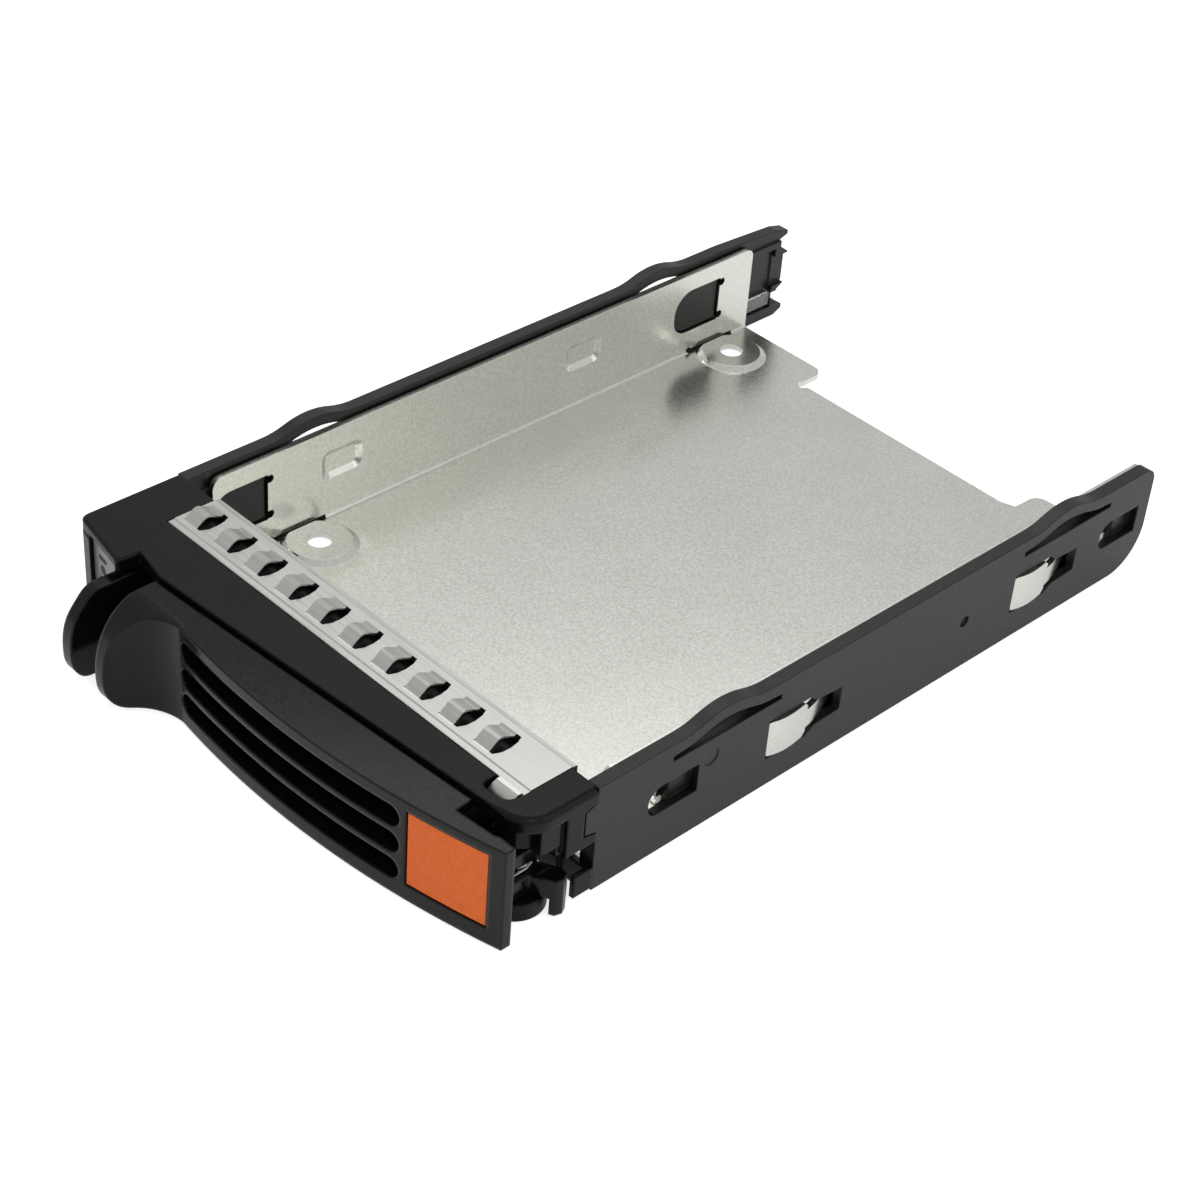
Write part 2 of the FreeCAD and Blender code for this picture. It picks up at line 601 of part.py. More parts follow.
# ---------------------------------------------------------------- strip
def strip_finger(x):
    """One lanced spring finger: ramp, ridge, long rear ramp, curled tip."""
    z = CADDY_H
    h = FINGER_RISE
    t = STRIP_T
    top = [(10.75, z), (11.0, z + 0.02), (12.3, z + h - 0.12), (12.75, z + h), (13.2, z + h - 0.1),
           (14.4, z + 0.42), (14.7, z + 0.3), (15.0, z + 0.45)]
    low = [(a - 0.04, b - t) for a, b in top]
    low.reverse()
    return prism_yz([top[0]] + top[1:] + low, x - FINGER_W / 2, x + FINGER_W / 2)


def make_strip():
    z = CADDY_H
    t = STRIP_T
    section = [(9.2, 13.5), (9.2, z - 0.32), (9.32, z - 0.14), (9.5, z - 0.1), (10.1, z - 0.1),
               (10.3, z), (16.35, z), (16.5, z - 0.08), (17.0, z - 0.1), (17.15, z - 0.3),
               (17.15, 12.6), (17.15 - t, 12.6), (17.15 - t, z - 0.1 - t), (16.5, z - 0.1 - t),
               (16.3, z - t), (10.4, z - t), (10.2, z - 0.1 - t), (9.2 + t, z - 0.1 - t),
               (9.2 + t, 13.5)]
    strip = prism_yz(section, STRIP_X0, STRIP_X1)
    slots = []
    fingers = []
    for i in range(FINGERS):
        x = FINGER_X + i * FINGER_PITCH
        x0 = x - FINGER_W / 2 - 0.15
        x1 = x + FINGER_W / 2 + 1.0
        slots.append(prism_xy([(x0, 11), (x1 - 0.5, 11), (x1 - 0.05, 12.1), (x1, 13.3),
                               (x1 - 0.2, 14.5), (x1 - 0.6, 15.4), (x0, 15.4)], z - 1, z + 1))
        fingers.append(strip_finger(x))
    strip = strip.cut(slots[0].multiFuse(slots[1:]))
    # curled tab at the front right end
    tab = prism_yz([(9.35, z - 0.1 - t), (9.35, z - 0.1), (8.8, z - 0.14), (8.15, z - 0.4),
                    (7.6, z - 0.95), (7.75, z - 1.15), (8.3, z - 0.6), (8.85, z - 0.36)],
                   STRIP_X1 - 3.9, STRIP_X1 - 0.4)
    return fuse([strip, tab] + fingers)


# ---------------------------------------------------------------- lever
def tab_outline(top, low, start, nose):
    """Side outline of a thumb tab: rounded nose, flat underside."""
    r = TAB_REACH
    return [(14, low), (14, top), (-start, top),
            ("curve", [(a - r, b) for a, b in nose] + [(2.6 - r, low)])]


def lever_plan():
    left = LEVER_L
    x1 = W2 + 0.9
    tip = left + TAB_T
    rear = 0.3
    return [(left, seam_y(left) - rear + 0.1), (left, -TAB_REACH - 0.3),
            (tip - 0.3, -TAB_REACH - 0.3), (tip, -6.6),
            ("curve", [(tip + 0.95, -5.3), (tip + 2.5, -3.5), (tip + 4.3, -2.35),
                       (tip + 7.3, face_y(tip + 7.3))]),
            ("arc", (12, face_y(12)), (x1, face_y(x1))),
            (x1, 3.3), (PIVOT_X + 3.1, 3.3), (PIVOT_X + 2.6, 3.0), (PIVOT_X - 3.0, 2.5),
            (PIVOT_X - 3.2, seam_y(PIVOT_X - 3.2) - rear), (-8, seam_y(-8) - rear)]


def vent_slot(z):
    """Obround slot through the curved face."""
    x0 = LEVER_L + 9.1
    x1 = PIVOT_X - 8.1
    r = SLOT_H / 2
    body = box(x0 + r, x1 - r, -12, 1.6, z - r, z + r)
    ends = [Part.makeCylinder(r, 13.6, V(x, -12, z), V(0, 1, 0)) for x in (x0 + r, x1 - r)]
    return fuse([body] + ends)


def label_box(grow):
    x0 = W2 - 11.65
    return box(x0 - grow, x0 + 10.35 + grow, -6, 8, 2.75 - grow, 12.95 + grow)


def make_lever():
    low = 0.3
    lever = prism_xy(lever_plan(), low, LEVER_H)
    nose = [(3.9, 13.45), (1.6, 10.95), (0.4, 8.15), (0, 4.6), (0.35, 2.2), (1.3, 0.75)]
    side = prism_yz(tab_outline(LEVER_H - 0.05, low, 0.5, nose), -W2 - 5, LEVER_L + 9.2)
    rest = box(LEVER_L + 9.0, W2 + 9, -20, 20, 0, 20)
    lever = lever.common(fuse([side, rest]))
    # hollow behind the face, open to the rear
    wall = FACE_T
    x0 = LEVER_L + TAB_T + 1.4
    x1 = W2 - 0.1
    room = prism_xy([(x0, face_y(x0) + wall + 0.9), (x0 + 3.5, face_y(x0 + 3.5) + wall),
                     ("arc", (12, face_y(12) + wall), (x1, face_y(x1) + 1.25)),
                     (x1, 12), (x0, 12)], low + 1.3, LEVER_H - 1.4)
    lever = lever.cut(room)
    # clear the bezel's lug below the hub
    lever = lever.cut(rod(PIVOT_X, PIVOT_Y, -1, 2.3, 4.6))
    # ribs between the slots, and stiffening ribs
    ribs = []
    zs = [7.55 + k * SLOT_PITCH for k in (-1, 0, 1)]
    deep = face_band(0.5, 3.4, 2.0, 13.0).common(box(LEVER_L + 6, PIVOT_X - 5, -9, 6, 2.0, 13.0))
    ribs.append(deep)
    for x in (LEVER_L + 6.6, PIVOT_X - 6.6):
        ribs.append(box(x - 0.6, x + 0.6, face_y(x) + 0.8, seam_y(x) - 0.6, 1.2, LEVER_H - 1.0))
    lever = fuse([lever] + ribs)
    slots = []
    for z in zs:
        slots.append(vent_slot(z))
    lever = lever.cut(slots[0].multiFuse(slots[1:]))
    # label recess
    recess = face_band(-2, 2.45, 0, CADDY_H).common(label_box(0.25))
    lever = lever.cut(recess)
    # arms, hubs and cam
    arms = []
    for z0, z1 in ((2.55, 5.3), (7.3, 9.2)):
        right = PIVOT_X + 2.5
        left = PIVOT_X - 2.5
        arms.append(prism_xy([(left - 1.0, face_y(left) + 1.0), (right, face_y(right) + 0.9),
                              (right, PIVOT_Y), (left, PIVOT_Y)], z0, z1))
        arms.append(rod(PIVOT_X, PIVOT_Y, z0, z1, 2.5))
    arms.append(box(PIVOT_X - 3.0, PIVOT_X - 1.8, face_y(PIVOT_X - 3) + 1, 4.8, 2.6, 9.0))
    cam = box(0, 5.3, -1.2, 1.2, 2.55, 5.3)
    tooth = prism_xy([(4.6, -1.2), (5.3, -1.2), (5.95, -0.5), (5.95, 0.5), (5.3, 1.2), (4.6, 1.2)],
                     low, 5.3)
    cam = cam.fuse(tooth)
    cam.rotate(V(0, 0, 0), V(0, 0, 1), 27)
    cam.translate(V(PIVOT_X, PIVOT_Y, 0))
    arms.append(cam)
    # catch that the latch holds: tongue with a barb shaped round the latch pivot
    tongue = box(LEVER_L + 0.1, LEVER_L + 1.5, 1.0, 14.5, 5.6, 9.2)
    barb = box(LATCH_X + 2.15, LEVER_L + 0.2, LATCH_Y + 3, 14.5, 5.6, 9.2)
    barb = barb.cut(rod(LATCH_X, LATCH_Y, 5, 10, 5.5))
    lever = fuse([lever, tongue, barb] + arms)
    return lever.cut(rod(PIVOT_X, PIVOT_Y, 1, 11, PIN_R + RUN_FIT)).removeSplitter()


def make_label():
    return face_band(0.1, 0.35, 2, 14).common(label_box(0))


def make_lever_pin():
    return rod(PIVOT_X, PIVOT_Y, 0.7, 13.3, PIN_R)


def make_lever_spring():
    return torsion_spring(PIVOT_X, PIVOT_Y, 5.7, 3, 0.4, 1.75, 0.19, (3.3, 5.9))


# ---------------------------------------------------------------- latch
def make_latch():
    left = LATCH_L
    right = left + TAB_T
    z0 = 2.2
    z1 = 11.4
    plan = [(left, 5.4), (left, -TAB_REACH - 0.3), (right - 0.1, -TAB_REACH - 0.3), (right, 2.9),
            ("arc", (right + 0.35, 4.3), (LATCH_X - 0.9, LATCH_Y - 1.9)),
            (LATCH_X + 0.2, LATCH_Y + 1.6), (LATCH_X - 1.2, LATCH_Y + 1.6)]
    nose = [(3.4, 12.0), (2.2, 10.8), (0.9, 9.1), (0.2, 7.1), (0, 4.4), (0.45, 1.9), (1.3, 0.8)]
    tab = prism_xy(plan, 0.3, 12.5).common(prism_yz(tab_outline(12.45, 0.3, 2.9, nose), -W2, 0))
    inside = box(-W2, 0, 2.6, 20, -1, z0).fuse(box(-W2, 0, 3.6, 20, z1, 20))
    tab = tab.cut(inside)
    hub = rod(LATCH_X, LATCH_Y, z0, 9.6, 1.9)
    ring = rod(LATCH_X, LATCH_Y, 5.6, 9.2, 5.2).cut(rod(LATCH_X, LATCH_Y, 5, 10, 3.8))
    sector = prism_xy([(LATCH_X, LATCH_Y), (LATCH_X + 5.6 * math.cos(math.radians(57)),
                                            LATCH_Y + 5.6 * math.sin(math.radians(57))),
                       (LATCH_X + 1, LATCH_Y + 7), (LATCH_X - 1.6, LATCH_Y + 7)], 0, 20)
    hook = ring.common(sector)
    arm = box(LATCH_X - 1.05, LATCH_X + 0.35, LATCH_Y, LATCH_Y + 4.4, 5.6, 9.2)
    latch = fuse([tab, hub, hook, arm])
    high = rod(LATCH_X, LATCH_Y, 9.6, 20, 2.6)
    return latch.cut(high).cut(rod(LATCH_X, LATCH_Y, 0, 20, LATCH_PIN_R + RUN_FIT)).removeSplitter()


def make_latch_pin():
    return rod(LATCH_X, LATCH_Y, 0.6, 14.1, LATCH_PIN_R)


def make_latch_spring():
    return torsion_spring(LATCH_X, LATCH_Y, 10.1, 3, 0.5, 1.35, 0.17, (1.9, 7.0))


# ---------------------------------------------------------------- build
NODES = {
    "tray": make_tray,
    "contact_strip": make_strip,
    "bezel": make_bezel,
    "right_rail": make_right_rail,
    "left_rail": make_left_rail,
    "light_pipe": make_light_pipe,
    "indicator_window": make_indicator,
    "release_lever": make_lever,
    "lever_label": make_label,
    "lever_pivot_pin": make_lever_pin,
    "lever_spring": make_lever_spring,
    "latch": make_latch,
    "latch_pivot_pin": make_latch_pin,
    "latch_spring": make_latch_spring,
}

for name, make in NODES.items():
    shape = make()
    if shape.ShapeType == "Compound" and len(shape.Solids) == 1:
        shape = shape.Solids[0]
    if not shape.isValid() or not shape.Solids:
        raise ValueError("bad solid: " + name)
    shape.exportStep("parts/" + name + ".step")
    print(name, len(shape.Solids), round(shape.Volume, 1), len(shape.Faces))
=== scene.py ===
import math

import bmesh
import bpy
from bpy.props import FloatProperty, FloatVectorProperty, PointerProperty, StringProperty
from mathutils import Matrix, Vector


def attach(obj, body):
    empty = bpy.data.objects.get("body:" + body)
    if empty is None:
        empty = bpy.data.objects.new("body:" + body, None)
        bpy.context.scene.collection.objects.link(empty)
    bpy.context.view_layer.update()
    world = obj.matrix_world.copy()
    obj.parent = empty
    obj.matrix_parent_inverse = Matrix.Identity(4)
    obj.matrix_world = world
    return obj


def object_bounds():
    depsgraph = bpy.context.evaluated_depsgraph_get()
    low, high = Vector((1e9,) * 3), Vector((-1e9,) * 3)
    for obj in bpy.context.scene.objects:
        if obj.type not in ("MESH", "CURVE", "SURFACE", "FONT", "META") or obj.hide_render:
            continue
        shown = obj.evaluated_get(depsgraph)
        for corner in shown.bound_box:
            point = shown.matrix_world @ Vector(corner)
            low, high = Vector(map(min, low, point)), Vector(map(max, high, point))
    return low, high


bl_info = {
    "name": "Hot swap drive caddy",
    "version": (1, 0, 0),
    "blender": (4, 5, 0),
    "location": "3D View > Sidebar > Drive Caddy",
    "description": "Finishes a sheet metal drive caddy with a moulded bezel and release lever",
    "category": "Object",
}

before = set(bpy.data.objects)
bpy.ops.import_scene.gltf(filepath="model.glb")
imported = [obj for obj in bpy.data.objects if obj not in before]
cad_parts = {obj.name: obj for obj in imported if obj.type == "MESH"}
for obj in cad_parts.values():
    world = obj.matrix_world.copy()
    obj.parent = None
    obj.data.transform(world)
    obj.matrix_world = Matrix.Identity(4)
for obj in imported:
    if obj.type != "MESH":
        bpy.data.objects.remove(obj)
CAD_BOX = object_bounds()
CADDY_LOW, CADDY_HIGH = CAD_BOX
MM = 0.001
# middle of the indicator window's face, and its turn about the vertical
WINDOW_X = -0.0329
WINDOW_Y = 0.001246
WINDOW_TURN = math.atan(0.16)
# printed marks on the window: how far they stand out of it, and how thick the ink is
MARK_LIFT = 0.015 * MM
MARK_THICK = 0.02 * MM
# (name, height, width, tall) of each mark, in mm
WINDOW_MARKS = (("mark_bar", 11.5, 2.1, 0.8),
                ("mark_dot", 9.9, 1.4, 1.4),
                ("mark_bar_low", 8.3, 2.1, 0.8))
# how strongly the floor glows: more to the camera, and what mirrors and glass see of it
FLOOR_SEEN = 0.75
FLOOR_MIRRORED = 0.36
FLOOR_GREY = 0.8                       # the floor's own grey, under that glow
FLOOR_MIDDLE = 0.06                    # Y of the floor's middle
FLOOR_GAP = 0.0002                     # keeps the floor just clear of the underside
# (name, place from the caddy's middle, size, which power) of each lamp; the small one lights
# the rounded edges that face it
LAMPS = (("Lamp above", (-0.25, 0.25, 0.6), 0.4, "key"),
         ("Lamp at the right", (0.6, 0.2, 0.35), 0.4, "side"),
         ("Lamp in front", (0.48, -0.28, 0.5), 0.05, "edge"))
SENSOR_WIDTH = 36.0
CAMERA_NEAR = 0.01
# height of the relief in moulded, printed and zinc surfaces
BUMP_DEPTH = 0.02 * MM
# a wide pair of noise values, between which a pattern blends softly
SOFT = (0.3, 0.7)


# ---------------------------------------------------------------- colours and nodes
def linear(code):
    """An sRGB hex colour as linear RGBA."""
    parts = [int(code[i:i + 2], 16) / 255 for i in (1, 3, 5)]
    return tuple([p / 12.92 if p <= 0.04045 else ((p + 0.055) / 1.055) ** 2.4 for p in parts]
                 + [1.0])


def add(tree, kind, inputs=None, **settings):
    """Adds one node, sets its properties, and sets or links its inputs."""
    made = tree.nodes.new(kind)
    for key, value in settings.items():
        setattr(made, key, value)
    for key, value in (inputs or {}).items():
        if isinstance(value, bpy.types.NodeSocket):
            tree.links.new(value, made.inputs[key])
        else:
            made.inputs[key].default_value = value
    return made


def new_material(name):
    """An empty node material."""
    material = bpy.data.materials.new(name)
    material.use_nodes = True
    material.node_tree.nodes.clear()
    return material, material.node_tree


def surface(tree, **inputs):
    """The shader and the output; an input's underscores stand for spaces."""
    named = {key.replace("_", " "): value for key, value in inputs.items()}
    shader = add(tree, "ShaderNodeBsdfPrincipled", named)
    add(tree, "ShaderNodeOutputMaterial", {"Surface": shader.outputs["BSDF"]})


def cells(size_mm):
    """Noise scale for a pattern whose features are size_mm across."""
    return 1000.0 / size_mm


def grain(tree, size_mm, detail=2.0, stretch=None):
    """Noise in object space with features of a real size; stretch draws it out along an axis."""
    place = add(tree, "ShaderNodeTexCoord").outputs["Object"]
    if stretch:
        place = add(tree, "ShaderNodeMapping", {"Vector": place, "Scale": stretch}).outputs[0]
    return add(tree, "ShaderNodeTexNoise",
               {"Vector": place, "Scale": cells(size_mm), "Detail": detail}).outputs["Fac"]


def spread(tree, fac, low, high, start=0.35, end=0.65):
    """Spreads a noise value between low and high."""
    return add(tree, "ShaderNodeMapRange",
               {"Value": fac, "From Min": start, "From Max": end, "To Min": low,
                "To Max": high}).outputs["Result"]


def tint(tree, fac, one, two):
    """Blends two hex colours by a value."""
    mixed = add(tree, "ShaderNodeMix", {"Factor": fac, "A": linear(one), "B": linear(two)},
                data_type="RGBA")
    return mixed.outputs["Result"]


# ---------------------------------------------------------------- materials
def zinc_sheet(finish):
    """Skin-passed hot-dip galvanised sheet: pale satin metal, fine even grain, faint clouds."""
    material, tree = new_material("Galvanised steel sheet, skin-passed")
    cloud = grain(tree, 14.0, 2.0)
    # the grain of skin-passed zinc is about 0.2 mm, drawn at 0.35 mm so that it shows
    fine = grain(tree, 0.35, 3.0)
    base = tint(tree, spread(tree, cloud, 0.0, 1.0, *SOFT), finish.zinc, "#E9EAE3")
    speck = tint(tree, spread(tree, fine, 0.0, 1.0, *SOFT), "#F0F0EE", "#FFFFFF")
    colour = add(tree, "ShaderNodeMix", {"Factor": 1.0, "A": base, "B": speck},
                 data_type="RGBA", blend_type="MULTIPLY").outputs["Result"]
    edge = add(tree, "ShaderNodeBevel", {"Radius": 0.12 * MM}, samples=4)
    bump = add(tree, "ShaderNodeBump", {"Height": fine, "Strength": 0.05, "Distance": BUMP_DEPTH,
                                        "Normal": edge.outputs[0]})
    surface(tree, Base_Color=colour, Metallic=1.0,
            Roughness=spread(tree, fine, 0.22, 0.27), Normal=bump.outputs[0])
    return material


def spring_strip(finish):
    """Rolled stainless spring strip: brighter and smoother, with faint lines along the roll."""
    material, tree = new_material("Stainless spring strip, bright rolled")
    lines = grain(tree, 0.5, 2.0, (0.06, 1.0, 1.0))
    colour = tint(tree, spread(tree, lines, 0.0, 1.0), finish.strip, "#CECFCA")
    surface(tree, Base_Color=colour, Metallic=1.0, Roughness=spread(tree, lines, 0.26, 0.34))
    return material


def moulded_black(name, low, high, rough, texture_mm, depth, gloss, edge_mm):
    """Injection-moulded black ABS/PC: mould texture of a real size, softened edges, and the
    slight change of tone that flow in the mould leaves."""
    material, tree = new_material(name)
    pores = grain(tree, texture_mm, 2.0)
    flow = grain(tree, 16.0, 2.0)
    colour = tint(tree, spread(tree, flow, 0.0, 1.0, *SOFT), low, high)
    edge = add(tree, "ShaderNodeBevel", {"Radius": edge_mm * MM}, samples=6)
    bump = add(tree, "ShaderNodeBump", {"Height": pores, "Strength": depth,
                                        "Distance": BUMP_DEPTH, "Normal": edge.outputs[0]})
    surface(tree, Base_Color=colour, Roughness=spread(tree, pores, rough - 0.03, rough + 0.05),
            IOR=1.53, Specular_IOR_Level=gloss, Normal=bump.outputs[0])
    return material


def printed_label(finish):
    """Matt orange vinyl label: even colour, very slight grain of the film."""
    material, tree = new_material("Vinyl film, matt orange")
    film = grain(tree, 0.5, 2.0)
    colour = tint(tree, spread(tree, film, 0.0, 1.0), finish.label, "#F4773C")
    bump = add(tree, "ShaderNodeBump", {"Height": film, "Strength": 0.04, "Distance": BUMP_DEPTH})
    surface(tree, Base_Color=colour, Roughness=0.55, IOR=1.5, Specular_IOR_Level=0.15,
            Normal=bump.outputs[0])
    return material


def clear_acrylic():
    """Polished acrylic light pipe: clear, with a little haze from moulding."""
    material, tree = new_material("Acrylic, clear moulded")
    haze = spread(tree, grain(tree, 1.5, 2.0), 0.06, 0.14)
    surface(tree, Base_Color=linear("#E6EAE7"), Roughness=haze, IOR=1.49,
            Transmission_Weight=0.9)
    return material


def smoked_window(finish):
    """Smoked polycarbonate window: pale grey, milky, satin."""
    material, tree = new_material("Polycarbonate, smoked translucent")
    haze = spread(tree, grain(tree, 1.0, 2.0), 0.28, 0.38)
    colour = tint(tree, grain(tree, 5.0), finish.window, "#9A9D9B")
    surface(tree, Base_Color=colour, Roughness=haze, IOR=1.58, Transmission_Weight=0.15)
    return material


def drawn_steel():
    """Drawn and ground steel pins and spring wire: grey, lines round the axis."""
    material, tree = new_material("Steel, drawn wire")
    lines = grain(tree, 0.4, 2.0, (0.2, 0.2, 1.0))
    colour = tint(tree, spread(tree, lines, 0.0, 1.0), "#A9A9A6", "#8F908E")
    surface(tree, Base_Color=colour, Metallic=1.0, Roughness=spread(tree, lines, 0.25, 0.35))
    return material


def pad_ink():
    """Black pad-printing ink: flat, slightly satin, uneven at its thin edge."""
    material, tree = new_material("Pad-printing ink, black")
    coverage = spread(tree, grain(tree, 0.35, 2.0), 0.0, 1.0)
    surface(tree, Base_Color=tint(tree, coverage, "#1B1C1B", "#262726"), Roughness=0.6, IOR=1.5)
    return material


def paint(node, material):
    """Gives a CAD node its one finish."""
    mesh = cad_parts[node].data
    mesh.materials.clear()
    mesh.materials.append(material)


# ---------------------------------------------------------------- settings
class CaddyFinish(bpy.types.PropertyGroup):
    """Colours of the caddy's finishes."""
    zinc: StringProperty(name="Zinc", description="Colour of the galvanised tray",
                         default="#E4E5DE")
    strip: StringProperty(name="Strip", description="Colour of the contact strip",
                          default="#C6C7C2")
    moulding: StringProperty(name="Moulding", description="Colour of the bezel and rails",
                             default="#0A0B09")
    lever: StringProperty(name="Lever", description="Colour of the lever and the latch",
                          default="#0A0C0C")
    label: StringProperty(name="Label", description="Colour of the label on the lever",
                          default="#FF7E40")
    window: StringProperty(name="Window", description="Colour of the indicator window",
                           default="#8E9190")


class CaddyStage(bpy.types.PropertyGroup):
    """Floor, lamps and camera."""
    floor_width: FloatProperty(name="Floor", description="Width of the floor", default=3.0,
                               unit="LENGTH")
    world: FloatProperty(name="World", description="Strength of the even light", default=0.58)
    key: FloatProperty(name="Key", description="Power of the lamp above, in watts", default=0.6)
    side: FloatProperty(name="Side", description="Power of the lamp at the right, in watts",
                        default=0.5)
    edge: FloatProperty(name="Edges", description="Power of the small lamp in front, in watts",
                        default=0.45)
    lens: FloatProperty(name="Lens", description="Focal length of the camera, in mm",
                        default=76.962)
    place: FloatVectorProperty(name="Camera", description="Place of the camera", size=3,
                               default=(0.180889, -0.135717, 0.196898), unit="LENGTH")
    turn: FloatVectorProperty(name="Turn", description="Azimuth, elevation and roll, in degrees",
                              size=3, default=(43.683, 36.910, -4.709))


# ---------------------------------------------------------------- modelling helpers
def deselect():
    """Leaves edit mode and selects nothing."""
    if bpy.context.mode != "OBJECT":
        bpy.ops.object.mode_set(mode="OBJECT")
    bpy.ops.object.select_all(action="DESELECT")


def finish_piece(piece, name, material, body):
    """Names a piece, puts its place in its mesh, and gives it finish and body."""
    deselect()
    piece.select_set(True)
    bpy.context.view_layer.objects.active = piece
    bpy.ops.object.transform_apply(location=True, rotation=True, scale=True)
    piece.name = name
    piece.data.name = name
    piece.data.materials.clear()
    piece.data.materials.append(material)
    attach(piece, body)


# ---------------------------------------------------------------- operators
class CADDY_OT_sheet_metal(bpy.types.Operator):
    """Finishes the galvanised tray and the stainless contact strip"""
    bl_idname = "caddy.sheet_metal"
    bl_label = "Sheet Metal"

    def execute(self, context):
        finish = context.scene.caddy_finish
        paint("tray", zinc_sheet(finish))
        paint("contact_strip", spring_strip(finish))
        return {"FINISHED"}


class CADDY_OT_mouldings(bpy.types.Operator):
    """Finishes the bezel and both rails as black mouldings"""
    bl_idname = "caddy.mouldings"
    bl_label = "Mouldings"

    def execute(self, context):
        finish = context.scene.caddy_finish
        bezel = moulded_black("ABS/PC, spark-textured black", finish.moulding, "#0F100D",
                              rough=0.30, texture_mm=0.35, depth=0.4, gloss=0.17, edge_mm=0.4)
        rails = moulded_black("ABS/PC, fine matt black", "#111110", "#161615",
                              rough=0.40, texture_mm=0.4, depth=0.35, gloss=0.42,
                              edge_mm=0.25)
        paint("bezel", bezel)
        paint("right_rail", rails)
        paint("left_rail", rails)
        return {"FINISHED"}


class CADDY_OT_lever(bpy.types.Operator):
    """Finishes the release lever, its label and the latch"""
    bl_idname = "caddy.lever"
    bl_label = "Lever and Latch"

    def execute(self, context):
        finish = context.scene.caddy_finish
        smooth = moulded_black("ABS/PC, smooth satin black", finish.lever, "#0E1010",
                               rough=0.12, texture_mm=0.5, depth=0.05, gloss=0.24,
                               edge_mm=0.5)
        paint("release_lever", smooth)
        paint("latch", smooth)
        paint("lever_label", printed_label(finish))
        return {"FINISHED"}


def print_mark(name, height, width, tall, ink):
    """A flat printed mark on the window: a bar with round ends, or a dot where its width
    equals its height."""
    deselect()
    bpy.ops.mesh.primitive_circle_add(vertices=32, radius=tall / 2, fill_type="NGON",
                                      rotation=(math.pi / 2, 0, 0))
    piece = bpy.context.active_object
    bpy.ops.object.transform_apply(rotation=True)
    bpy.ops.object.mode_set(mode="EDIT")
    bpy.ops.mesh.select_all(action="SELECT")
    bpy.ops.mesh.extrude_region_move(TRANSFORM_OT_translate={"value": (0, MARK_THICK, 0)})
    mesh = bmesh.from_edit_mesh(piece.data)
    for point in mesh.verts:
        point.co.x += math.copysign((width - tall) / 2, point.co.x)
    bmesh.ops.recalc_face_normals(mesh, faces=mesh.faces)
    bmesh.update_edit_mesh(piece.data)
    bpy.ops.object.mode_set(mode="OBJECT")
    # the window's face leans back towards the left end
    piece.rotation_euler = (0, 0, -WINDOW_TURN)
    piece.location = (WINDOW_X, WINDOW_Y - MARK_LIFT, height)
    finish_piece(piece, name, ink, "carrier")


class CADDY_OT_light_path(bpy.types.Operator):
    """Finishes the light pipe and the indicator window, and prints the window's three marks"""
    bl_idname = "caddy.light_path"
    bl_label = "Light Path"

    def execute(self, context):
        finish = context.scene.caddy_finish
        paint("light_pipe", clear_acrylic())
        paint("indicator_window", smoked_window(finish))
        ink = pad_ink()
        for name, height, width, tall in WINDOW_MARKS:
            print_mark(name, height * MM, width * MM, tall * MM, ink)
        return {"FINISHED"}


class CADDY_OT_pins(bpy.types.Operator):
    """Finishes both pivot pins and both torsion springs"""
    bl_idname = "caddy.pins"
    bl_label = "Pins and Springs"

    def execute(self, context):
        steel = drawn_steel()
        for node in ("lever_pivot_pin", "lever_spring", "latch_pivot_pin", "latch_spring"):
            paint(node, steel)
        return {"FINISHED"}


def area_lamp(name, place, aim, size, power):
    """A square soft lamp at place that faces aim."""
    data = bpy.data.lights.new(name, "AREA")
    data.shape = "SQUARE"
    data.size = size
    data.energy = power
    lamp = bpy.data.objects.new(name, data)
    bpy.context.scene.collection.objects.link(lamp)
    lamp.location = place
    lamp.rotation_euler = (Vector(aim) - Vector(place)).to_track_quat("-Z", "Y").to_euler()


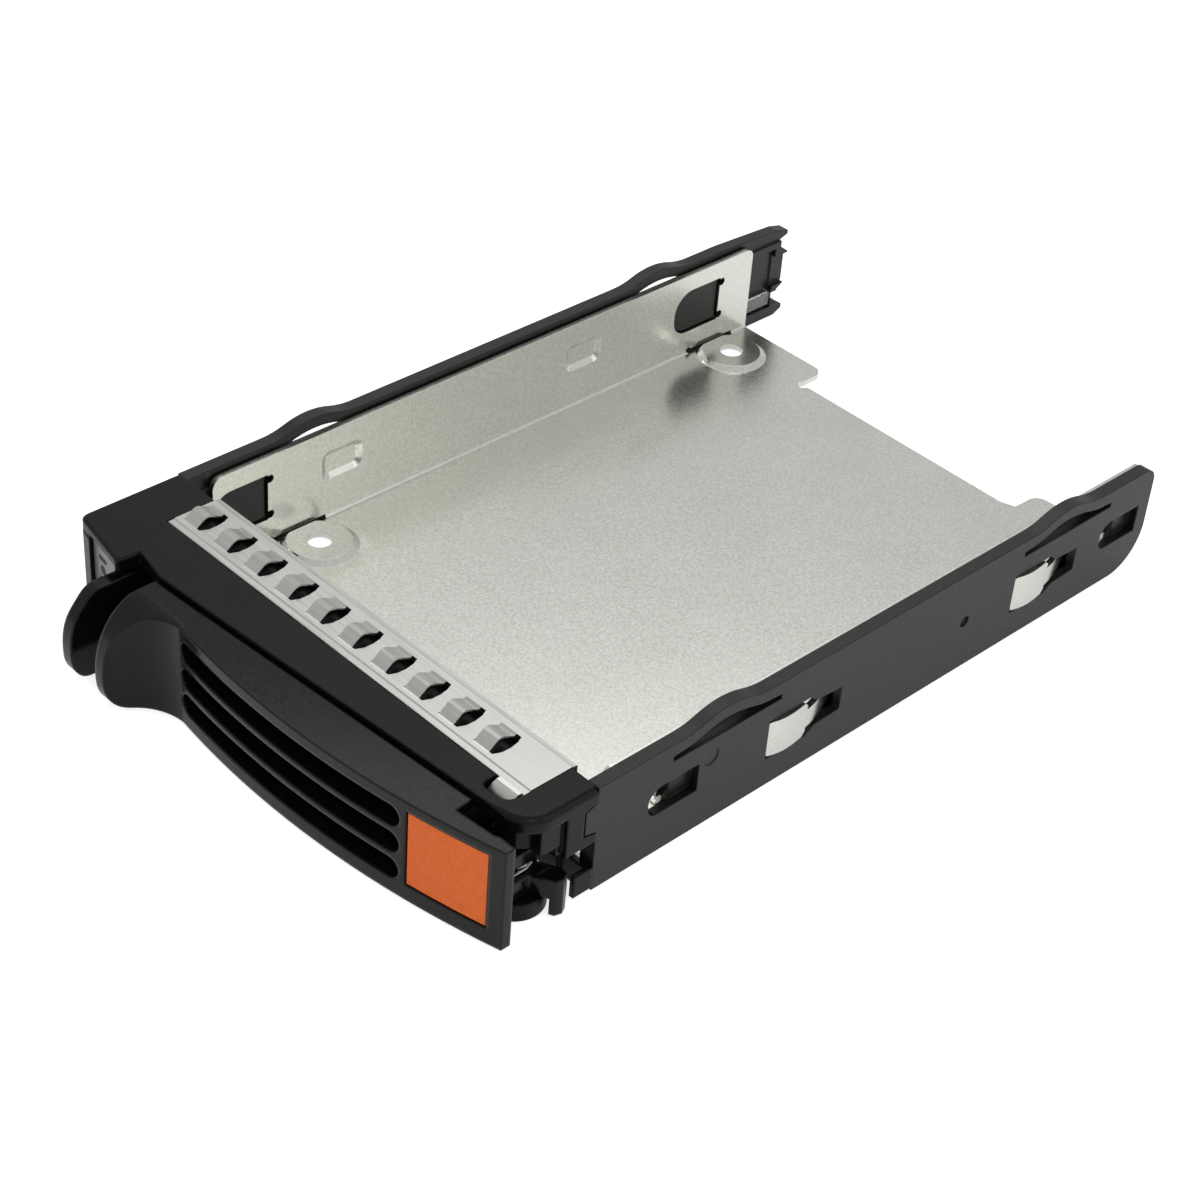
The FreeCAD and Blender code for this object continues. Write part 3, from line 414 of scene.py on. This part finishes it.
class CADDY_OT_stage(bpy.types.Operator):
    """Makes the floor, the even light, the lamps and the camera"""
    bl_idname = "caddy.stage"
    bl_label = "Stage"

    def execute(self, context):
        stage = context.scene.caddy_stage
        scene = context.scene
        scene.view_settings.view_transform = "Standard"
        deselect()
        bpy.ops.mesh.primitive_plane_add(size=stage.floor_width,
                                         location=(0, FLOOR_MIDDLE, CADDY_LOW.z - FLOOR_GAP))
        floor = context.active_object
        floor.name = "floor"
        material, tree = new_material("Matt white paper")
        seen = add(tree, "ShaderNodeLightPath")
        either = add(tree, "ShaderNodeMath", {0: seen.outputs["Is Glossy Ray"],
                                              1: seen.outputs["Is Transmission Ray"]},
                     operation="MAXIMUM")
        mirrored = add(tree, "ShaderNodeMath", {0: either.outputs[0], 1: FLOOR_MIRRORED},
                       operation="MULTIPLY")
        glow = add(tree, "ShaderNodeMath", {0: seen.outputs["Is Camera Ray"], 1: FLOOR_SEEN,
                                            2: mirrored.outputs[0]},
                   operation="MULTIPLY_ADD")
        surface(tree, Base_Color=(FLOOR_GREY, FLOOR_GREY, FLOOR_GREY, 1.0), Roughness=0.9,
                Emission_Color=(1.0, 1.0, 1.0, 1.0), Emission_Strength=glow.outputs[0])
        floor.data.materials.append(material)

        world = bpy.data.worlds.new("Even light")
        scene.world = world
        world.use_nodes = True
        world.node_tree.nodes.clear()
        tree = world.node_tree
        path = add(tree, "ShaderNodeLightPath")
        strength = add(tree, "ShaderNodeMapRange",
                       {"Value": path.outputs["Is Camera Ray"], "To Min": stage.world,
                        "To Max": 1.0})
        even = add(tree, "ShaderNodeBackground", {"Color": (1.0, 1.0, 1.0, 1.0),
                                                  "Strength": strength.outputs["Result"]})
        add(tree, "ShaderNodeOutputWorld", {"Surface": even.outputs[0]})

        middle = (CADDY_LOW + CADDY_HIGH) / 2
        for name, place, size, power in LAMPS:
            area_lamp(name, middle + Vector(place), middle, size, getattr(stage, power))

        azimuth, elevation, roll = (math.radians(v) for v in stage.turn)
        level = math.cos(elevation)
        back = Vector((math.sin(azimuth) * level, -math.cos(azimuth) * level,
                       math.sin(elevation)))
        right = Vector((math.cos(azimuth), math.sin(azimuth), 0))
        up = back.cross(right)
        across = right * math.cos(roll) - up * math.sin(roll)
        upright = up * math.cos(roll) + right * math.sin(roll)
        data = bpy.data.cameras.new("Camera")
        data.lens = stage.lens
        data.sensor_width = SENSOR_WIDTH
        data.clip_start = CAMERA_NEAR
        camera = bpy.data.objects.new("Camera", data)
        scene.collection.objects.link(camera)
        turn = Matrix((across, upright, back)).transposed().to_4x4()
        camera.matrix_world = Matrix.Translation(Vector(stage.place)) @ turn
        scene.camera = camera
        return {"FINISHED"}


STEPS = (CADDY_OT_sheet_metal, CADDY_OT_mouldings, CADDY_OT_lever, CADDY_OT_light_path,
         CADDY_OT_pins, CADDY_OT_stage)


class CADDY_PT_panel(bpy.types.Panel):
    """Lists the caddy's steps"""
    bl_idname = "CADDY_PT_panel"
    bl_label = "Drive Caddy"
    bl_space_type = "VIEW_3D"
    bl_region_type = "UI"
    bl_category = "Drive Caddy"

    def draw(self, context):
        for group in (context.scene.caddy_finish, context.scene.caddy_stage):
            for key in group.__annotations__:
                self.layout.prop(group, key)
        for step in STEPS:
            self.layout.operator(step.bl_idname)


CLASSES = (CaddyFinish, CaddyStage) + STEPS + (CADDY_PT_panel,)


def register():
    for item in CLASSES:
        bpy.utils.register_class(item)
    bpy.types.Scene.caddy_finish = PointerProperty(type=CaddyFinish)
    bpy.types.Scene.caddy_stage = PointerProperty(type=CaddyStage)


def unregister():
    del bpy.types.Scene.caddy_stage
    del bpy.types.Scene.caddy_finish
    for item in reversed(CLASSES):
        bpy.utils.unregister_class(item)


def main():
    register()
    bpy.ops.caddy.sheet_metal()
    bpy.ops.caddy.mouldings()
    bpy.ops.caddy.lever()
    bpy.ops.caddy.light_path()
    bpy.ops.caddy.pins()
    bpy.ops.caddy.stage()


if __name__ == "__main__":
    main()
